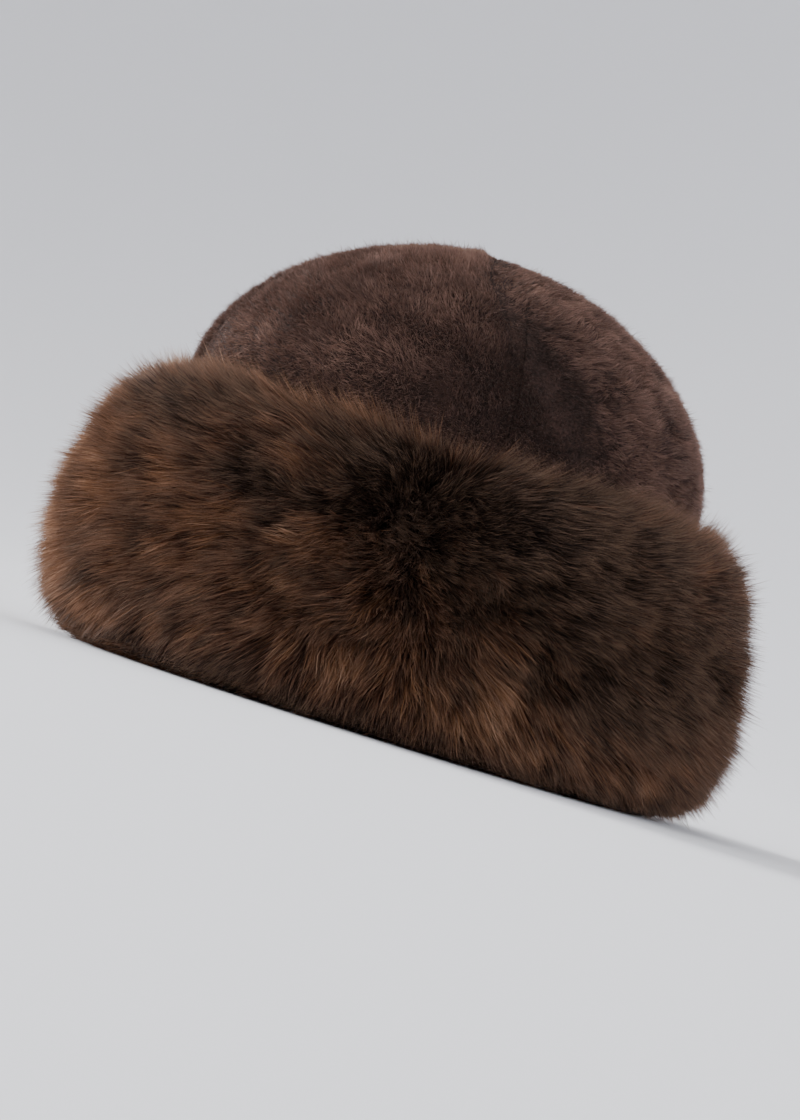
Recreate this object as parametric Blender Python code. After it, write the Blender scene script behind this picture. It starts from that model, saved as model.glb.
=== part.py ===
"""A domed fur hat with a deep turned-up cuff of long fur.

The crown is sewn from gores of short sheared fur. Round its foot goes one band of long
fur, folded up so that the fur stands outwards in overlapping locks. The hat stands on
the fur under its rim, flattened there. Metres, +Z up, the front of the hat towards -Y.
"""

import math
import random

import bpy
import bmesh
from mathutils import Vector

# Crown: hide and sheared pile together make its wall
HEAD_RADIUS = 0.092
CROWN_WALL = 0.0105
CROWN_FLARE = 0.0025
CROWN_HEIGHT = 0.167
DOME_HEIGHT = 0.077
DOME_POWER = 1.85
GORE_COUNT = 4
FRONT_SEAM_TURN = math.radians(12)
SEAM_DEPTH = 0.004

# Cuff: the fur below the crown's rim, its height over the floor and its reach outwards.
# It leans to the right, where its fullest part also sags lower than on the left.
RIM_LIFT = 0.027
CUFF_HEIGHT = 0.117
CUFF_REACH = 0.0375
CUFF_LEAN = 0.0015
CUFF_SAG = 0.15
REST_WIDTH = 0.018
LOCKS_ROUND = 44
LOCK_RISE = 0.0065
FUR_LIFT = 0.0008
FOOT_RIPPLE = 0.0012

# Clearance between pieces that touch
FIT_GAP = 0.0003

# Steps of the meshes
SKIRT_STEPS = 3
DOME_STEPS = 11
WALL_STEPS = 5
OUTLINE_SAMPLES = 24
RANDOM_SEED = 7

# Fur across one gore, from its left seam to its right one.
# Columns: share of the gore's width, share of SEAM_DEPTH that the pile lies low.
GORE_CROSS = (
    (0.00, 1.00),
    (0.05, 0.62),
    (0.14, 0.30),
    (0.32, 0.15),
    (0.50, 0.10),
    (0.68, 0.10),
    (0.86, 0.05),
    (0.96, 0.10),
    (1.00, 0.55),
)

# Outline of the cuff at the tips of its fur, from the top down.
# Columns: share of CUFF_HEIGHT, share of CUFF_REACH.
CUFF_OUTLINE = (
    (1.00, 0.06),
    (0.965, 0.27),
    (0.88, 0.57),
    (0.70, 0.84),
    (0.50, 0.99),
    (0.36, 1.00),
    (0.23, 0.97),
    (0.11, 0.86),
    (0.035, 0.68),
    (0.00, 0.48),
)

# Rows of locks from the top down, up-pointing above the parting and down-pointing below.
# Columns: share of the outline where the row starts, where it ends, tips upwards or not.
LOCK_ROWS = (
    (0.00, 0.11, True),
    (0.11, 0.22, True),
    (0.22, 0.345, False),
    (0.345, 0.475, False),
    (0.475, 0.605, False),
    (0.605, 0.735, False),
    (0.735, 0.865, False),
    (0.865, 1.00, False),
)

# One lock from its root to its tip, which lies over the next row. Columns: share of the
# row's length on the ridge and in the valley beside it, share of LOCK_RISE that the
# ridge and the valley stand over the outline.
LOCK_SECTIONS = (
    (-0.30, 0.32, -0.85, -1.00),
    (0.42, 0.50, -0.25, -0.95),
    (1.26, 0.66, 0.30, -0.90),
)

# Share of its row that a lock beside the parting keeps clear of it
PARTING_EDGE = 0.05

# Most that chance changes a lock: shares of its length, its rise and a column's width
SHORTEN = 0.30
RISE_CHANGE = 0.30
TURN_CHANGE = 0.32

# Hollows brushed into the cuff's fur. Columns: degrees round from the front to the
# right, share of CUFF_HEIGHT, width in shares of CUFF_HEIGHT, depth in shares of CUFF_REACH.
CUFF_HOLLOWS = (
    (-33, 0.64, 0.10, 0.15),
    (12, 0.70, 0.16, 0.10),
    (64, 0.52, 0.12, 0.08),
    (152, 0.60, 0.13, 0.12),
    (-118, 0.55, 0.13, 0.11),
)

# Fur round the mouth, from the foot up to the crown's rim. Columns: share of the way out
# from the head to the foot, share of RIM_LIFT, ripple of its tufts as a share of that way.
MOUTH_SECTIONS = (
    (0.25, 0.22, 0.10),
    (0.08, 0.55, 0.06),
)

# Materials. Columns: sRGB red, green, blue, roughness.
CROWN_FINISH = (0.285, 0.212, 0.188, 0.90)
CUFF_FINISH = (0.235, 0.157, 0.125, 0.85)

OUTER_RADIUS = HEAD_RADIUS + CROWN_WALL + CROWN_FLARE
SKIRT_HEIGHT = CROWN_HEIGHT - DOME_HEIGHT
SPRING_HEIGHT = RIM_LIFT + SKIRT_HEIGHT
GORE_ANGLE = 2 * math.pi / GORE_COUNT
COLUMNS = 2 * LOCKS_ROUND
# A polygon's sides cut inside its corners, so a ring round the crown is drawn this much wider
RING_EASE = 1 / math.cos(math.pi / COLUMNS)
GORE_NAMES = ("front_left", "front_right", "back_right", "back_left")


def clear_scene():
    for item in list(bpy.data.objects):
        bpy.data.objects.remove(item, do_unlink=True)


def new_collection(name):
    collection = bpy.data.collections.new(name)
    bpy.context.scene.collection.children.link(collection)
    return collection


def linear(value):
    """Linear light from an sRGB value."""
    if value <= 0.04045:
        return value / 12.92
    return ((value + 0.055) / 1.055) ** 2.4


def fur_material(name, finish):
    red, green, blue, roughness = finish
    material = bpy.data.materials.new(name)
    material.use_nodes = True
    shader = material.node_tree.nodes["Principled BSDF"]
    shader.inputs["Base Color"].default_value = (linear(red), linear(green), linear(blue), 1)
    shader.inputs["Roughness"].default_value = roughness
    shader.inputs["Metallic"].default_value = 0
    return material


def place(azimuth, radius, height):
    """A point by its turn from the front to the right, its radius and its height."""
    return Vector((radius * math.sin(azimuth), -radius * math.cos(azimuth), height))


def crown_profile(inset):
    """Radius and height up the crown, rim to apex, set in from its outside."""
    base = OUTER_RADIUS - inset
    rise = DOME_HEIGHT - inset
    profile = []
    for step in range(SKIRT_STEPS):
        share = step / SKIRT_STEPS
        profile.append((base - CROWN_FLARE * (1 - share), RIM_LIFT + share * SKIRT_HEIGHT))
    for step in range(DOME_STEPS):
        angle = step / DOME_STEPS * math.pi / 2
        radius = base * math.cos(angle) ** (2 / DOME_POWER)
        height = SPRING_HEIGHT + rise * math.sin(angle) ** (2 / DOME_POWER)
        profile.append((radius, height))
    return profile


def crown_radius_at(height):
    """Outer radius of the crown at a height over the floor."""
    if height <= SPRING_HEIGHT:
        share = (height - RIM_LIFT) / SKIRT_HEIGHT
        return OUTER_RADIUS - CROWN_FLARE * (1 - share)
    over = min(1, (height - SPRING_HEIGHT) / DOME_HEIGHT)
    return OUTER_RADIUS * (1 - over**DOME_POWER) ** (1 / DOME_POWER)


def finish_object(name, builder, material, collection, smooth):
    """A named object from a bmesh, faces turned outwards."""
    bmesh.ops.recalc_face_normals(builder, faces=builder.faces)
    mesh = bpy.data.meshes.new(name)
    builder.to_mesh(mesh)
    builder.free()
    if smooth:
        mesh.shade_smooth()
    mesh.materials.append(material)
    item = bpy.data.objects.new(name, mesh)
    collection.objects.link(item)
    return item


def make_gore(index, material, collection):
    """One gore of the crown: a curved wedge of wall from the rim to the apex."""
    builder = bmesh.new()
    start = FRONT_SEAM_TURN + (index - 1) * GORE_ANGLE
    middle = start + GORE_ANGLE / 2
    aside = place(middle, FIT_GAP / 2 / math.sin(GORE_ANGLE / 2), 0)
    outer = []
    inner = []
    for share, low in GORE_CROSS:
        azimuth = start + share * GORE_ANGLE
        outside = crown_profile(low * SEAM_DEPTH)
        inside = crown_profile(CROWN_WALL)
        outer.append([builder.verts.new(place(azimuth, r, z) + aside) for r, z in outside])
        inner.append([builder.verts.new(place(azimuth, r, z) + aside) for r, z in inside])
    apex_height = SPRING_HEIGHT + DOME_HEIGHT
    top = builder.verts.new(place(0, 0, apex_height - SEAM_DEPTH / 2) + aside)
    under = builder.verts.new(place(0, 0, apex_height - CROWN_WALL) + aside)
    for left, right in zip(range(len(outer) - 1), range(1, len(outer))):
        for skin in (outer, inner):
            for low, high in zip(range(len(skin[0]) - 1), range(1, len(skin[0]))):
                builder.faces.new(
                    (skin[left][low], skin[right][low], skin[right][high], skin[left][high])
                )
        builder.faces.new((outer[left][-1], outer[right][-1], top))
        builder.faces.new((inner[left][-1], inner[right][-1], under))
        builder.faces.new((outer[left][0], inner[left][0], inner[right][0], outer[right][0]))
    for edge in (0, -1):
        for low, high in zip(range(len(outer[0]) - 1), range(1, len(outer[0]))):
            builder.faces.new(
                (outer[edge][low], outer[edge][high], inner[edge][high], inner[edge][low])
            )
        builder.faces.new((outer[edge][-1], top, under, inner[edge][-1]))
    name = "crown_gore_" + GORE_NAMES[index]
    return finish_object(name, builder, material, collection, True)


def smooth_path(points):
    """A Catmull-Rom curve through radius and height points."""
    path = []
    for index in range(len(points) - 1):
        before = Vector(points[max(index - 1, 0)])
        first = Vector(points[index])
        second = Vector(points[index + 1])
        after = Vector(points[min(index + 2, len(points) - 1)])
        for step in range(OUTLINE_SAMPLES):
            t = step / OUTLINE_SAMPLES
            bend = (2 * before - 5 * first + 4 * second - after) * t**2
            turn = (3 * first - before - 3 * second + after) * t**3
            path.append(0.5 * (2 * first + (second - before) * t + bend + turn))
    path.append(Vector(points[-1]))
    return path


class CuffOutline:
    """The cuff's outer outline, read by the share of the way from its top to its foot."""

    def __init__(self):
        base = OUTER_RADIUS + FIT_GAP
        rows = [(base + reach * CUFF_REACH, up * CUFF_HEIGHT) for up, reach in CUFF_OUTLINE]
        self.path = smooth_path(rows)
        self.lengths = [0.0]
        for first, second in zip(self.path, self.path[1:]):
            self.lengths.append(self.lengths[-1] + (second - first).length)

    def at(self, share):
        """Radius and height there, and the direction out of the fur."""
        goal = min(max(share, 0), 1) * self.lengths[-1]
        index = 1
        while index < len(self.lengths) - 1 and self.lengths[index] < goal:
            index += 1
        step = self.lengths[index] - self.lengths[index - 1]
        part = (goal - self.lengths[index - 1]) / step
        point = self.path[index - 1].lerp(self.path[index], part)
        along = (self.path[index] - self.path[index - 1]).normalized()
        return point, Vector((-along.y, along.x))


def hollow_depth(azimuth, height):
    """How deep the brushed hollows take the fur in at one place of the cuff."""
    depth = 0
    for degrees, up, width, deep in CUFF_HOLLOWS:
        turn = (azimuth - math.radians(degrees) + math.pi) % (2 * math.pi) - math.pi
        across = turn * OUTER_RADIUS / (width * CUFF_HEIGHT)
        away = (height / CUFF_HEIGHT - up) / width
        depth += deep * CUFF_REACH * math.exp(-(across**2) - away**2)
    return depth


def lock_chances():
    """Three random numbers for every lock: for its length, its rise and its turn."""
    chance = random.Random(RANDOM_SEED)
    locks = {}
    for row in range(len(LOCK_ROWS)):
        for column in range(COLUMNS):
            locks[row, column] = [chance.uniform(-1, 1) for _ in range(3)]
    return locks


def roots_at_parting(row):
    """Whether a row of locks is one of the two that root at the parting."""
    upwards = LOCK_ROWS[row][2]
    neighbour = row + 1 if upwards else row - 1
    return LOCK_ROWS[neighbour][2] != upwards


def lock_ring(outline, row, section, locks):
    """One ring of a row of locks: ridges and valleys by turns, round the hat."""
    first, last, upwards = LOCK_ROWS[row]
    ridge_way, valley_way, ridge_rise, valley_rise = section
    ring = []
    for column in range(COLUMNS):
        way = valley_way
        rise = valley_rise
        turn = 0
        if (column + row) % 2 == 0:
            length, height, aside = locks[row, column]
            way = ridge_way - max(ridge_way, 0) * SHORTEN * abs(length)
            rise = ridge_rise * (1 + RISE_CHANGE * height)
            turn = TURN_CHANGE * aside * max(ridge_way, 0)
        if roots_at_parting(row):
            way = max(way, PARTING_EDGE)
        if upwards:
            way = 1 - way
        share = min(max(first + way * (last - first), 0), 1)
        point, out = outline.at(share)
        azimuth = 2 * math.pi * (column + turn) / COLUMNS
        rightness = math.sin(azimuth)
        level = CUFF_HEIGHT * (point.y / CUFF_HEIGHT) ** (1 + CUFF_SAG * rightness)
        lift = rise * LOCK_RISE - hollow_depth(azimuth, level)
        radius = point.x + out.x * lift + CUFF_LEAN * rightness
        height = max(level + out.y * lift, FUR_LIFT)
        ring.append(place(azimuth, radius, height))
    return ring


def plain_ring(radius, height, ripple=0.0):
    """A ring of points round the hat, its ridges and valleys a ripple apart."""
    ring = []
    for column in range(COLUMNS):
        side = 1 if column % 2 == 0 else -1
        azimuth = 2 * math.pi * column / COLUMNS
        ring.append(place(azimuth, radius + side * ripple, height))
    return ring


def crown_side_rings(top_ring):
    """Rings up the cuff's inner face, a clearance off the crown, to its upper lip."""
    rings = []
    foot = RIM_LIFT - FIT_GAP
    rim_radius = (crown_radius_at(RIM_LIFT) + FIT_GAP) * RING_EASE
    rings.append(plain_ring(rim_radius, foot))
    lip = min(point.z for point in top_ring)
    for step in range(1, WALL_STEPS):
        height = RIM_LIFT + (lip - RIM_LIFT) * step / WALL_STEPS
        rings.append(plain_ring((crown_radius_at(height) + FIT_GAP) * RING_EASE, height))
    last = []
    for column, point in enumerate(top_ring):
        radius = (crown_radius_at(point.z) + FIT_GAP) * RING_EASE
        last.append(place(2 * math.pi * column / COLUMNS, radius, point.z))
    rings.append(last)
    return rings


def cuff_rings():
    """Closed loop of rings: down the fur, under the foot, up the inside to the lip."""
    outline = CuffOutline()
    locks = lock_chances()
    rings = []
    for row, (_, _, upwards) in enumerate(LOCK_ROWS):
        sections = reversed(LOCK_SECTIONS) if upwards else LOCK_SECTIONS
        for section in sections:
            rings.append(lock_ring(outline, row, section, locks))
    foot_radius = OUTER_RADIUS + FIT_GAP + CUFF_OUTLINE[-1][1] * CUFF_REACH
    rings.append(plain_ring(foot_radius, 0, FOOT_RIPPLE))
    rings.append(plain_ring(foot_radius - REST_WIDTH, 0))
    mouth = foot_radius - REST_WIDTH - HEAD_RADIUS
    for way, up, ripple in MOUTH_SECTIONS:
        rings.append(plain_ring(HEAD_RADIUS + way * mouth, up * RIM_LIFT, ripple * mouth))
    rings.append(plain_ring(HEAD_RADIUS, RIM_LIFT - FIT_GAP))
    rings.extend(crown_side_rings(rings[0]))
    return rings


def make_cuff(material, collection):
    """The cuff: hide and locks fused into one ring of mesh."""
    builder = bmesh.new()
    rings = [[builder.verts.new(point) for point in ring] for ring in cuff_rings()]
    for index, ring in enumerate(rings):
        below = rings[(index + 1) % len(rings)]
        for column in range(COLUMNS):
            beside = (column + 1) % COLUMNS
            builder.faces.new((ring[column], ring[beside], below[beside], below[column]))
    bmesh.ops.triangulate(builder, faces=builder.faces, quad_method="SHORT_EDGE")
    return finish_object("fur_cuff", builder, material, collection, False)


def build_hat():
    clear_scene()
    collection = new_collection("fur_hat")
    crown_fur = fur_material("sheared_fur", CROWN_FINISH)
    cuff_fur = fur_material("long_fur", CUFF_FINISH)
    for index in range(GORE_COUNT):
        make_gore(index, crown_fur, collection)
    make_cuff(cuff_fur, collection)


build_hat()
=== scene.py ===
# %% [markdown]
# # A domed fur hat with a deep turned-up cuff
# The real hat has two kinds of fur. The crown is sewn from four gores of short sheared
# fur, and round its foot goes one band of long fur, folded up so that it stands outwards.
# The solids of both are loaded first and fix every size. This lesson dresses them: it
# makes the hide, the soft underfur and then hundreds of thousands of single hairs.

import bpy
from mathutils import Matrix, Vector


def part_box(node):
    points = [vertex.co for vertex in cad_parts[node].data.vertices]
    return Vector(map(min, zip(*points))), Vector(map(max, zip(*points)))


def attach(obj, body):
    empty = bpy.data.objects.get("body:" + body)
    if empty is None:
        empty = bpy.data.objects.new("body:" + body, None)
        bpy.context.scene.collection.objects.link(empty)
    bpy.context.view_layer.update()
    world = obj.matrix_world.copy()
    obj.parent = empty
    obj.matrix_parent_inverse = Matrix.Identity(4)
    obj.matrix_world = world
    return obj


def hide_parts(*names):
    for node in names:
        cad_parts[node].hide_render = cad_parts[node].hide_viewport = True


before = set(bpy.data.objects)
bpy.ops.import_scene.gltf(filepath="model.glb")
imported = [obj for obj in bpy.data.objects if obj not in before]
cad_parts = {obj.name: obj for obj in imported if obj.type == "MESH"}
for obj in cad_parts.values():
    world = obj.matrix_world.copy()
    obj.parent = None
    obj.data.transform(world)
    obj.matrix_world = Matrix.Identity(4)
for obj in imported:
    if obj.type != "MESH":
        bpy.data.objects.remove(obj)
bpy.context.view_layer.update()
print("solids:", sorted(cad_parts))

# %% Modules and units
import math

import bpy
import numpy as np
from mathutils import Matrix, Vector

MM = 0.001
TURN = 2 * math.pi

# %% [markdown]
# ## Sizes read from the solids
# A dressed piece has to sit where its solid sits, so nothing here is placed by eye. The
# boxes of the nodes give the crown's radius and top and the cuff's height and reach.
# The few values that a box can't tell, such as how square the dome is, are named once.

# %% Sizes of the hat
GORES = ("front_left", "front_right", "back_right", "back_left")
gore_boxes = [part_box("crown_gore_" + gore) for gore in GORES]
cuff_low, cuff_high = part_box("fur_cuff")

SEAM_DEPTH = 4 * MM
LIP_TIPS = 2.3 * MM
CUFF_TIPS = 1.9 * MM
CROWN_RADIUS = (max(high.x for _, high in gore_boxes) - min(low.x for low, _ in gore_boxes)) / 2
CROWN_RIM = min(low.z for low, _ in gore_boxes)
CROWN_TOP = max(high.z for _, high in gore_boxes) + SEAM_DEPTH / 4
CUFF_TOP = cuff_high.z - LIP_TIPS
CUFF_REACH = (cuff_high.x - cuff_low.x) / 2 - CROWN_RADIUS - CUFF_TIPS
DOME_POWER = 1.85
CROWN_FLARE = 2.5 * MM
CROWN_WALL = 10.5 * MM
HEAD_RADIUS = CROWN_RADIUS - CROWN_WALL - CROWN_FLARE
FIT_GAP = 0.3 * MM
FRONT_SEAM = math.radians(12)
CUFF_LEAN = 1.5 * MM
CUFF_SAG = 0.15
print("crown radius", round(CROWN_RADIUS / MM, 1), "rim", round(CROWN_RIM / MM, 1),
      "top", round(CROWN_TOP / MM, 1), "mm")
print("cuff top", round(CUFF_TOP / MM, 1), "reach", round(CUFF_REACH / MM, 1), "mm")

# %% [markdown]
# ## Camera
# The photo looks at the hat from a little under its rim, with the hat leaning to the
# right in the picture. This hat stands on a floor, so the camera stays just above the
# floor and rolls instead: the hat then has the same lean in the frame. A long lens from
# far away keeps the flat look of a product shot. The camera is made first because every
# later choice is judged through it.

# %% The camera at the photo's angle
IMAGE_WIDTH = 800
IMAGE_HEIGHT = 1120
PIXELS_PER_MM = 2.54
LIP_CENTRE_X = 445
LIP_CENTRE_Y = 442
CAMERA_ROLL = math.radians(17.4)
CAMERA_ELEVATION = math.radians(-1.6)
CAMERA_DISTANCE = 1350 * MM
SENSOR = 36

camera_data = bpy.data.cameras.new("camera")
camera = bpy.data.objects.new("camera", camera_data)
bpy.context.scene.collection.objects.link(camera)
bpy.context.scene.camera = camera
camera_data.sensor_width = SENSOR
camera_data.lens = PIXELS_PER_MM * CAMERA_DISTANCE / MM * SENSOR / IMAGE_HEIGHT

backward = Vector((0, -math.cos(CAMERA_ELEVATION), math.sin(CAMERA_ELEVATION)))
level_right = Vector((1, 0, 0))
level_up = backward.cross(level_right)
picture_right = math.cos(CAMERA_ROLL) * level_right + math.sin(CAMERA_ROLL) * level_up
picture_up = math.cos(CAMERA_ROLL) * level_up - math.sin(CAMERA_ROLL) * level_right
aside = (LIP_CENTRE_X - IMAGE_WIDTH / 2) / PIXELS_PER_MM * MM
above = (IMAGE_HEIGHT / 2 - LIP_CENTRE_Y) / PIXELS_PER_MM * MM
aim = Vector((0, 0, CUFF_TOP)) - aside * picture_right - above * picture_up
camera.location = aim + backward * CAMERA_DISTANCE
camera.rotation_mode = "QUATERNION"
axes = Matrix((picture_right, picture_up, backward)).transposed()
camera.rotation_quaternion = axes.to_quaternion()
print("lens", round(camera_data.lens, 1), "mm, camera height", round(camera.location.z / MM), "mm")

# %% [markdown]
# ## Outlines
# Every surface of this hat is nearly turned, so each one is a curve of radius and height
# that is spun round the hat. A few rows of a table, with a smooth Catmull-Rom curve
# through them, hold a whole outline, and the same curve is later asked where hair number
# ten thousand has its root. All of it works on whole arrays at once, because a loop in
# Python over so many hairs would take minutes.


# %% Curves of radius and height
class Outline:
    """A smooth curve of radius and height, read by the share of its length."""

    SAMPLES = 24

    def __init__(self, rows):
        rows = np.array(rows, float)
        ends = np.vstack((rows[0], rows, rows[-1]))
        steps = np.linspace(0, 1, self.SAMPLES, endpoint=False)[:, None]
        parts = []
        for index in range(len(rows) - 1):
            before, first, second, after = ends[index : index + 4]
            square = (2 * before - 5 * first + 4 * second - after) * steps**2
            cube = (3 * first - before - 3 * second + after) * steps**3
            parts.append(0.5 * (2 * first + (second - before) * steps + square + cube))
        self.points = np.vstack(parts + [rows[-1:]])
        lengths = np.linalg.norm(np.diff(self.points, axis=0), axis=1)
        self.length = lengths.sum()
        self.shares = np.append(0, np.cumsum(lengths)) / self.length

    def at(self, share):
        """Radius and height at each share."""
        radius = np.interp(share, self.shares, self.points[:, 0])
        height = np.interp(share, self.shares, self.points[:, 1])
        return radius, height

    def out(self, share):
        """Direction out of the surface at each share, as parts along radius and height."""
        step = 0.01
        r0, z0 = self.at(np.clip(share - step, 0, 1))
        r1, z1 = self.at(np.clip(share + step, 0, 1))
        size = np.hypot(r1 - r0, z1 - z0)
        return (z0 - z1) / size, (r1 - r0) / size

    def shares_by_area(self, chance, count):
        """Random shares, so that each part of the spun surface gets its due."""
        middles = (self.shares[1:] + self.shares[:-1]) / 2
        radius, _ = self.at(middles)
        weight = np.append(0, np.cumsum(radius * np.diff(self.shares)))
        return np.interp(chance.random(count), weight / weight[-1], self.shares)


# %% Points round the hat
def spin(azimuth, radius, height):
    """Points by their turn from the front to the right, their radius and height."""
    parts = (radius * np.sin(azimuth), -radius * np.cos(azimuth), height)
    return np.stack(np.broadcast_arrays(*parts), axis=-1)


def rightward_at(azimuth):
    """The level direction to the right, as seen from outside at each turn."""
    return spin(azimuth + math.pi / 2, 1, 0)


def unit(vectors):
    """The same directions with a length of 1."""
    return vectors / np.linalg.norm(vectors, axis=-1, keepdims=True)


# %% [markdown]
# ## Smooth chance
# Fur is random, but not from point to point: it is fuller or darker here than there, and
# changes slowly in between. A sum of a few sine waves in random directions gives such
# values anywhere in space, without a seam round the hat.

# %% Smooth chance over space
DRIFT_WAVES = 12
DRIFT_LENGTHS = (1.2, 2.8)


def drift(points, size, seed):
    """Smooth random values of about -1 to 1 that change over a distance of size. Another
    seed gives another pattern."""
    chance = np.random.default_rng(seed)
    total = np.zeros(len(points))
    for _ in range(DRIFT_WAVES):
        direction = unit(chance.normal(size=3))
        wavelength = size * chance.uniform(*DRIFT_LENGTHS)
        total += np.sin(points @ direction * (TURN / wavelength) + chance.uniform(0, TURN))
    return total / math.sqrt(DRIFT_WAVES)


def bump(value, centre, width):
    """A soft hill of height 1 round centre."""
    return np.exp(-(((value - centre) / width) ** 2))


def turn_between(azimuth, degrees):
    """Turn from a direction given in degrees, from minus half a turn to half a turn."""
    return (azimuth - math.radians(degrees) + math.pi) % TURN - math.pi


def spotted(azimuth, way, points, base, noises, patches):
    """A tone with slow random changes, and with soft spots that are paler or darker."""
    tones = np.full(len(points), base)
    for strength, size, seed in noises:
        tones += strength * drift(points, size, seed)
    for degrees, place, wide, high, more in patches:
        across = turn_between(azimuth, degrees) / wide
        tones += more * np.exp(-(across**2) - ((way - place) / high) ** 2)
    return tones


# %% [markdown]
# ## Meshes from arrays
# A hat has far too many hairs to model one by one. Blender's own hair curves would do it
# too, but a stored model has to be plain mesh. So one helper turns a grid of points into
# a skin, and another one turns arrays of hairs into thin tapered ribbons. A ribbon of
# three triangles is the cheapest shape that can bend and end in a point.

# %% Objects from points and faces
collection = bpy.data.collections.new("fur_hat")
bpy.context.scene.collection.children.link(collection)
triangle_count = {}


def object_from(name, points, faces, material):
    """A mesh object from an array of points and an array of faces of one size."""
    mesh = bpy.data.meshes.new(name)
    corners = faces.shape[1]
    mesh.vertices.add(len(points))
    mesh.vertices.foreach_set("co", points.astype(np.float32).ravel())
    mesh.loops.add(faces.size)
    mesh.loops.foreach_set("vertex_index", faces.astype(np.int32).ravel())
    mesh.polygons.add(len(faces))
    mesh.polygons.foreach_set("loop_start", np.arange(0, faces.size, corners, dtype=np.int32))
    mesh.update(calc_edges=True)
    mesh.shade_smooth()
    mesh.materials.append(material)
    item = bpy.data.objects.new(name, mesh)
    collection.objects.link(item)
    triangle_count[name] = len(faces) * (corners - 2)
    return item


def dress(item, node):
    """Tie a piece to the body and hide the solid that it replaces."""
    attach(item, "root")
    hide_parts(node)
    return item


def grid_faces(rows, columns, wrap_rows, wrap_columns):
    """Quads between neighbours in a grid of points, its rows and columns wrapped or not."""
    last_row = rows if wrap_rows else rows - 1
    last_column = columns if wrap_columns else columns - 1
    row, column = np.meshgrid(np.arange(last_row), np.arange(last_column), indexing="ij")
    below = (row + 1) % rows
    beside = (column + 1) % columns
    quads = (row * columns + column, row * columns + beside,
             below * columns + beside, below * columns + column)
    return np.stack(quads, axis=-1).reshape(-1, 4)


# %% Ribbons from hairs
MAP_NAME = "OFBake"
MAP_STEP = 0.004


def ribbon_mesh(name, joints, widths, tones, chance, material):
    """Hairs as ribbons. joints holds each hair's points from root to tip, widths the
    ribbon's width at each joint, with 0 for a pointed tip, and tones each hair's tone.
    The map keeps the tone across and the way from root to tip along, so that every hair
    of one tone shares one strip of the map."""
    count, stops, _ = joints.shape
    pointed = not widths[:, -1].any()
    heading = unit(joints[:, -1] - joints[:, 0])
    across = unit(np.cross(heading, chance.normal(size=(count, 3))))
    half = across[:, None] * widths[:, :, None] / 2
    left = joints - half
    right = joints + half
    pairs = stops - 1 if pointed else stops
    points = np.stack((left[:, :pairs], right[:, :pairs]), axis=2).reshape(count, -1, 3)
    along = np.repeat(np.linspace(0, 1, stops)[:pairs], 2)
    side = np.tile((0, 1), pairs)
    if pointed:
        points = np.concatenate((points, joints[:, -1:]), axis=1)
        along = np.append(along, 1)
        side = np.append(side, 0.5)
    pattern = []
    for pair in range(pairs - 1):
        first = 2 * pair
        pattern += [(first, first + 1, first + 2), (first + 2, first + 1, first + 3)]
    if pointed:
        pattern.append((2 * pairs - 2, 2 * pairs - 1, 2 * pairs))
    pattern = np.array(pattern)
    starts = np.arange(count) * points.shape[1]
    faces = (starts[:, None, None] + pattern[None]).reshape(-1, 3)
    item = object_from(name, points.reshape(-1, 3), faces, material)
    across_map = tones[:, None] * (1 - 2 * MAP_STEP) + MAP_STEP / 2 + side[None] * MAP_STEP
    along_map = np.broadcast_to(along[None] * (1 - 2 * MAP_STEP) + MAP_STEP, across_map.shape)
    spots = np.stack((across_map, along_map), axis=-1)[:, pattern.ravel()]
    layer = item.data.uv_layers.new(name=MAP_NAME)
    layer.data.foreach_set("uv", spots.astype(np.float32).ravel())
    return item


# %% [markdown]
# ## Colour of a hair
# A fur hair is darkest at its root and warm or pale at its tip, and no two hairs have
# the same tone. The dark root is partly painted shade of the deep fur, and the pale tip
# partly a painted glow of light through it. Both fit one flat map: tone from left to
# right, root to tip upwards. The long fur and the sheared fur need the same recipe with
# other colours, so it is a node group, built once with named sockets. It puts out a
# colour only, and the shader stays in each material.


# %% Helpers for node trees
def rgb(red, green, blue):
    """A linear colour from sRGB values of 0 to 255."""
    values = np.array((red, green, blue)) / 255
    return (*np.where(values <= 0.04045, values / 12.92, ((values + 0.055) / 1.055) ** 2.4), 1)


def add(tree, kind, **values):
    """A node with its properties set by name."""
    node = tree.nodes.new(kind)
    for name, value in values.items():
        setattr(node, name, value)
    return node


def reach(tree, source, low, high):
    """A socket's value taken from low..high to 0..1, with soft ends."""
    node = add(tree, "ShaderNodeMapRange", interpolation_type="SMOOTHSTEP")
    tree.links.new(source, node.inputs["Value"])
    node.inputs["From Min"].default_value = low
    node.inputs["From Max"].default_value = high
    return node.outputs["Result"]


def blend(tree, share, first, second, kind="MIX"):
    """A mix of two colours by share."""
    node = add(tree, "ShaderNodeMix", data_type="RGBA", blend_type=kind)
    for place, source in ((0, share), (6, first), (7, second)):
        socket = node.inputs[place]
        if isinstance(source, bpy.types.NodeSocket):
            tree.links.new(source, socket)
        else:
            socket.default_value = source
    return node.outputs[2]


def new_group(name, inputs, outputs):
    """An empty node group with its inputs and outputs, each a name and a socket kind."""
    group = bpy.data.node_groups.new(name, "ShaderNodeTree")
    for title, kind, value in inputs:
        socket = group.interface.new_socket(title, in_out="INPUT", socket_type=kind)
        socket.default_value = value
    for title, kind in outputs:
        group.interface.new_socket(title, in_out="OUTPUT", socket_type=kind)
    return group, add(group, "NodeGroupInput"), add(group, "NodeGroupOutput")


# %% The hair colour group
COLOUR = "NodeSocketColor"
VALUE = "NodeSocketFloat"
GREY = (0.5, 0.5, 0.5, 1)

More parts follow.
